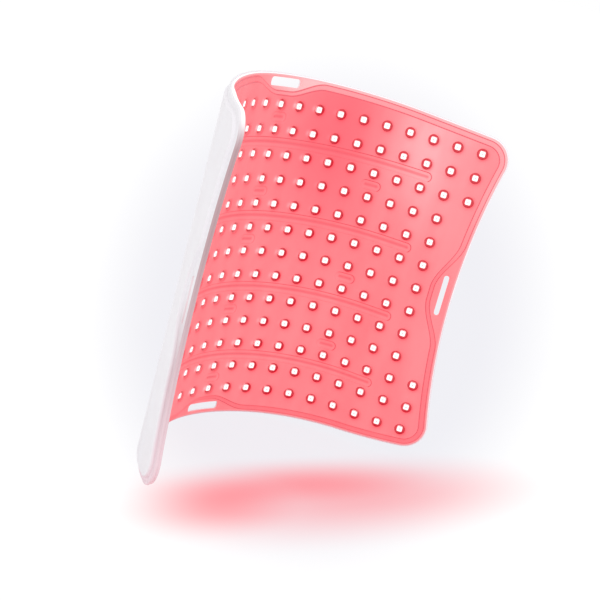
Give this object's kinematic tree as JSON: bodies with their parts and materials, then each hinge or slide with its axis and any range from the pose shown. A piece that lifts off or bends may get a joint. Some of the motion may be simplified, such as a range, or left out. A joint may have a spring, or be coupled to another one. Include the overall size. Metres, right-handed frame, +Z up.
{
  "type": "led light therapy panel",
  "caption": "Flexible silicone light therapy panel with a grid of red LEDs in round wells, strap slots in its rim and a power inlet on its back, curled into an upright screen.",
  "frame": {"origin": "centre of the bounding box's base, where the panel stands on its bottom edge", "axes": "+Z up along the panel's height, -Y out of the lit front at the centre column, +X to the right seen from the front"},
  "size_m": [0.2222, 0.1128, 0.216],
  "materials": {
    "front_silicone": "satin translucent silicone, lit red from within by the LEDs",
    "back_silicone": "satin white silicone",
    "board_laminate": "white solder mask on a flexible laminate",
    "led_package": "clear glossy lens, glowing red",
    "chip_ceramic": "black glazed chip",
    "stiff_plastic": "moulded, fine matte",
    "inlet_plastic": "moulded, fine satin grain",
    "socket_plastic": "moulded black",
    "contact_metal": "plated, bright",
    "lead_sheath": "smooth sheath",
    "screw_steel": "zinc plated"
  },
  "bodies": {
    "centre": {"front_skin_centre": "front_silicone", "back_skin_centre": "back_silicone", "led_board_centre": "board_laminate", "led_packages_centre": "led_package", "resistors_centre": "chip_ceramic", "inlet_backing_plate": "stiff_plastic", "inlet_screws": "screw_steel", "inlet_gasket": "back_silicone", "inlet_housing": "inlet_plastic", "power_socket": "socket_plastic", "power_socket_pin": "contact_metal", "inlet_leads": "lead_sheath", "solder_pads": "contact_metal"},
    "right_inner": {"front_skin_right_inner": "front_silicone", "back_skin_right_inner": "back_silicone", "led_board_right_inner": "board_laminate", "led_packages_right_inner": "led_package", "resistors_right_inner": "chip_ceramic"},
    "right_end": {"front_skin_right_end": "front_silicone", "back_skin_right_end": "back_silicone", "led_board_right_end": "board_laminate", "led_packages_right_end": "led_package", "resistors_right_end": "chip_ceramic"},
    "left_inner": {"front_skin_left_inner": "front_silicone", "back_skin_left_inner": "back_silicone", "led_board_left_inner": "board_laminate", "led_packages_left_inner": "led_package", "resistors_left_inner": "chip_ceramic"},
    "left_end": {"front_skin_left_end": "front_silicone", "back_skin_left_end": "back_silicone", "led_board_left_end": "board_laminate", "led_packages_left_end": "led_package", "resistors_left_end": "chip_ceramic"}
  },
  "joints": [
    {"name": "fold_right_inner", "type": "hinge", "parent": "centre", "child": "right_inner", "pos_m": [0.04372, 0.03421, 0.108], "axis": [0, 0, -1], "range_deg": [-40, 30], "stiffness_Nm_per_rad": 0.5},
    {"name": "fold_right_outer", "type": "hinge", "parent": "right_inner", "child": "right_end", "pos_m": [0.0836, -0.00859, 0.108], "axis": [0, 0, -1], "range_deg": [-15, 35], "stiffness_Nm_per_rad": 0.5},
    {"name": "fold_left_inner", "type": "hinge", "parent": "centre", "child": "left_inner", "pos_m": [-0.02898, 0.03421, 0.108], "axis": [0, 0, 1], "range_deg": [-32, 30], "stiffness_Nm_per_rad": 0.5},
    {"name": "fold_left_outer", "type": "hinge", "parent": "left_inner", "child": "left_end", "pos_m": [-0.07806, 0.00023, 0.108], "axis": [0, 0, 1], "range_deg": [-20, 35], "stiffness_Nm_per_rad": 0.5}
  ]
}
